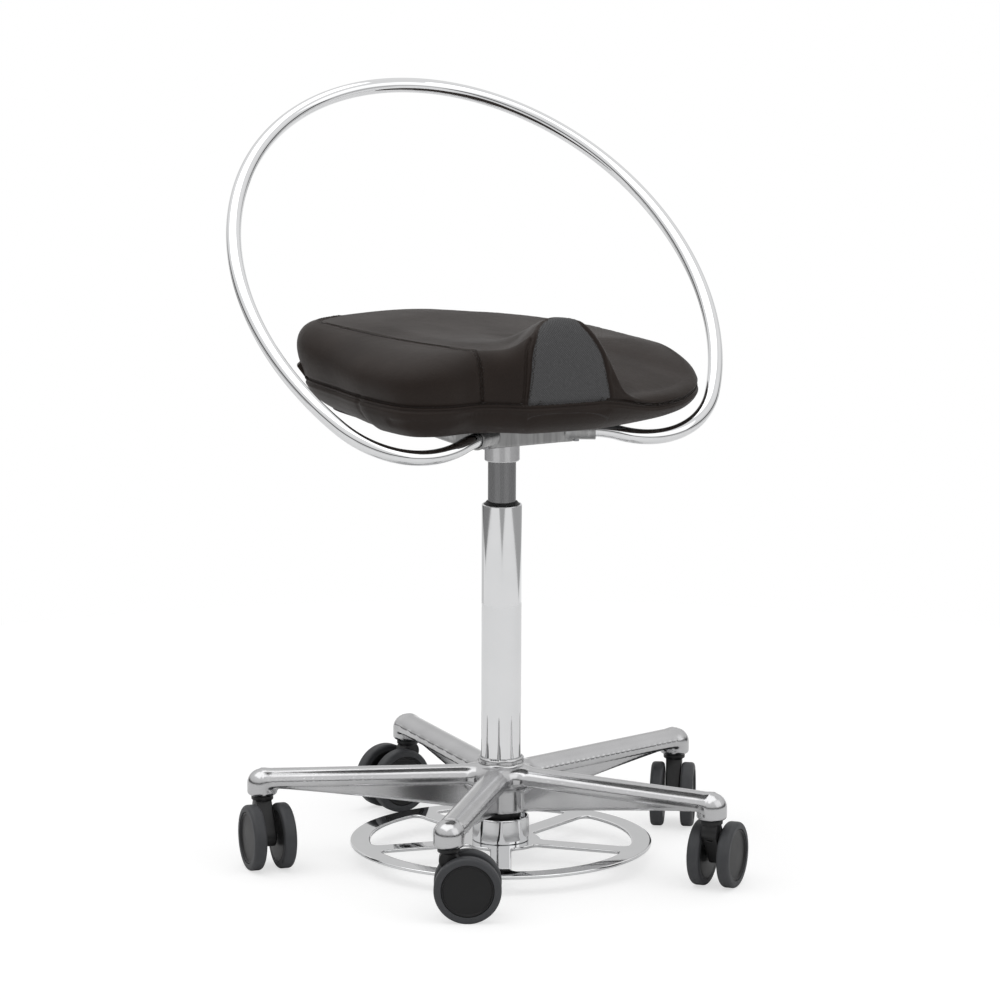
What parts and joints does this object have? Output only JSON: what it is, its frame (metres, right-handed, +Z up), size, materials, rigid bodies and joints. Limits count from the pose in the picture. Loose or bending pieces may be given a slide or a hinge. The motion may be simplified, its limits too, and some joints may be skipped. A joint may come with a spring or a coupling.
{
  "type": "saddle stool",
  "caption": "Saddle stool on castors with a shaped leather seat, a tilted tube hoop as arm and back rest, and a foot disc that frees its height.",
  "frame": {"origin": "on the floor, at the middle of the stool's own box in plan; the column axis stands 17.4 mm in front of it, at y = -0.0174", "axes": "+Z up, -Y towards the front of the seat, where the pommel is, +X to the side of the seat that falls away"},
  "size_m": [0.5164, 0.4904, 0.7619],
  "materials": {
    "polished_aluminium": "polished",
    "cast_aluminium": "satin",
    "chrome": "polished",
    "satin_steel": "satin",
    "plain_steel": "satin",
    "black_plastic": "matte",
    "white_acetal": "satin",
    "black_rubber": "matte",
    "grey_tread": "matte",
    "wheel_nylon": "satin",
    "upholstery": "satin"
  },
  "bodies": {
    "base": {"base_spider": "polished_aluminium", "column_tube": "chrome", "guide_bush": "white_acetal", "wiper_seal": "black_rubber", "thrust_bearing": "plain_steel", "release_flange": "black_plastic", "castor_1_stem": "plain_steel", "castor_2_stem": "plain_steel", "castor_3_stem": "plain_steel", "castor_4_stem": "plain_steel", "castor_5_stem": "plain_steel"},
    "spindle": {"piston_rod": "plain_steel", "piston": "plain_steel", "rod_clip": "plain_steel"},
    "seat": {"gas_cylinder": "satin_steel", "rod_gland": "black_plastic", "taper_collar": "cast_aluminium", "mount_plate": "cast_aluminium", "support_ring": "chrome", "ring_screw_left": "plain_steel", "ring_screw_right": "plain_steel", "seat_shell": "black_plastic", "seat_cushion": "upholstery", "seat_screw_1": "plain_steel", "seat_screw_2": "plain_steel", "seat_screw_3": "plain_steel", "seat_screw_4": "plain_steel"},
    "foot_release": {"foot_disc": "chrome", "foot_cup": "chrome"},
    "release_plunger": {"release_pin": "plain_steel"},
    "castor_1": {"castor_1_housing": "black_plastic", "castor_1_axle": "plain_steel"},
    "castor_1_wheels_left": {"castor_1_wheel_left": "wheel_nylon", "castor_1_tread_left": "grey_tread"},
    "castor_1_wheels_right": {"castor_1_wheel_right": "wheel_nylon", "castor_1_tread_right": "grey_tread"},
    "castor_2": {"castor_2_housing": "black_plastic", "castor_2_axle": "plain_steel"},
    "castor_2_wheels_left": {"castor_2_wheel_left": "wheel_nylon", "castor_2_tread_left": "grey_tread"},
    "castor_2_wheels_right": {"castor_2_wheel_right": "wheel_nylon", "castor_2_tread_right": "grey_tread"},
    "castor_3": {"castor_3_housing": "black_plastic", "castor_3_axle": "plain_steel"},
    "castor_3_wheels_left": {"castor_3_wheel_left": "wheel_nylon", "castor_3_tread_left": "grey_tread"},
    "castor_3_wheels_right": {"castor_3_wheel_right": "wheel_nylon", "castor_3_tread_right": "grey_tread"},
    "castor_4": {"castor_4_housing": "black_plastic", "castor_4_axle": "plain_steel"},
    "castor_4_wheels_left": {"castor_4_wheel_left": "wheel_nylon", "castor_4_tread_left": "grey_tread"},
    "castor_4_wheels_right": {"castor_4_wheel_right": "wheel_nylon", "castor_4_tread_right": "grey_tread"},
    "castor_5": {"castor_5_housing": "black_plastic", "castor_5_axle": "plain_steel"},
    "castor_5_wheels_left": {"castor_5_wheel_left": "wheel_nylon", "castor_5_tread_left": "grey_tread"},
    "castor_5_wheels_right": {"castor_5_wheel_right": "wheel_nylon", "castor_5_tread_right": "grey_tread"}
  },
  "joints": [
    {"name": "seat_turn", "type": "hinge", "parent": "base", "child": "spindle", "pos_m": [0, -0.0174, 0.0585], "axis": [0, 0, 1], "continuous": true},
    {"name": "seat_height", "type": "slide", "parent": "spindle", "child": "seat", "axis": [0, 0, 1], "range_m": [-0.038, 0.1]},
    {"name": "disc_tilt", "type": "hinge", "parent": "base", "child": "foot_release", "pos_m": [0, -0.0394, 0.0303], "axis": [1, 0, 0], "range_deg": [0, 4]},
    {"name": "pin_rise", "type": "slide", "parent": "base", "child": "release_plunger", "axis": [0, 0, 1], "range_m": [0, 0.0016]},
    {"name": "castor_1_swivel", "type": "hinge", "parent": "base", "child": "castor_1", "pos_m": [0.23297, 0.04025, 0.0717], "axis": [0, 0, 1], "continuous": true},
    {"name": "castor_1_roll_left", "type": "hinge", "parent": "castor_1", "child": "castor_1_wheels_left", "pos_m": [0.22284, 0.02489, 0.03272], "axis": [0.8348, -0.5505, 0], "continuous": true},
    {"name": "castor_1_roll_right", "type": "hinge", "parent": "castor_1", "child": "castor_1_wheels_right", "pos_m": [0.22284, 0.02489, 0.03272], "axis": [0.8348, -0.5505, 0], "continuous": true},
    {"name": "castor_2_swivel", "type": "hinge", "parent": "base", "child": "castor_2", "pos_m": [0.01716, 0.22199, 0.0717], "axis": [0, 0, 1], "continuous": true},
    {"name": "castor_2_roll_left", "type": "hinge", "parent": "castor_2", "child": "castor_2_wheels_left", "pos_m": [-0.0011, 0.21974, 0.03272], "axis": [0.1219, -0.9925, 0], "continuous": true},
    {"name": "castor_2_roll_right", "type": "hinge", "parent": "castor_2", "child": "castor_2_wheels_right", "pos_m": [-0.0011, 0.21974, 0.03272], "axis": [0.1219, -0.9925, 0], "continuous": true},
    {"name": "castor_3_swivel", "type": "hinge", "parent": "base", "child": "castor_3", "pos_m": [-0.22237, 0.07289, 0.0717], "axis": [0, 0, 1], "continuous": true},
    {"name": "castor_3_roll_left", "type": "hinge", "parent": "castor_3", "child": "castor_3_wheels_left", "pos_m": [-0.22537, 0.05474, 0.03272], "axis": [0.9866, -0.1633, 0], "continuous": true},
    {"name": "castor_3_roll_right", "type": "hinge", "parent": "castor_3", "child": "castor_3_wheels_right", "pos_m": [-0.22537, 0.05474, 0.03272], "axis": [0.9866, -0.1633, 0], "continuous": true},
    {"name": "castor_4_swivel", "type": "hinge", "parent": "base", "child": "castor_4", "pos_m": [-0.15459, -0.20098, 0.0717], "axis": [0, 0, 1], "continuous": true},
    {"name": "castor_4_roll_left", "type": "hinge", "parent": "castor_4", "child": "castor_4_wheels_left", "pos_m": [-0.13834, -0.20962, 0.03272], "axis": [0.4695, 0.8829, 0], "continuous": true},
    {"name": "castor_4_roll_right", "type": "hinge", "parent": "castor_4", "child": "castor_4_wheels_right", "pos_m": [-0.13834, -0.20962, 0.03272], "axis": [0.4695, 0.8829, 0], "continuous": true},
    {"name": "castor_5_swivel", "type": "hinge", "parent": "base", "child": "castor_5", "pos_m": [0.12683, -0.22115, 0.0717], "axis": [0, 0, 1], "continuous": true},
    {"name": "castor_5_roll_left", "type": "hinge", "parent": "castor_5", "child": "castor_5_wheels_left", "pos_m": [0.14075, -0.20913, 0.03272], "axis": [-0.6534, 0.757, 0], "continuous": true},
    {"name": "castor_5_roll_right", "type": "hinge", "parent": "castor_5", "child": "castor_5_wheels_right", "pos_m": [0.14075, -0.20913, 0.03272], "axis": [-0.6534, 0.757, 0], "continuous": true}
  ],
  "couplings": [
    {"joint": "pin_rise", "follows": "disc_tilt", "m_per_rad": 0.022}
  ]
}
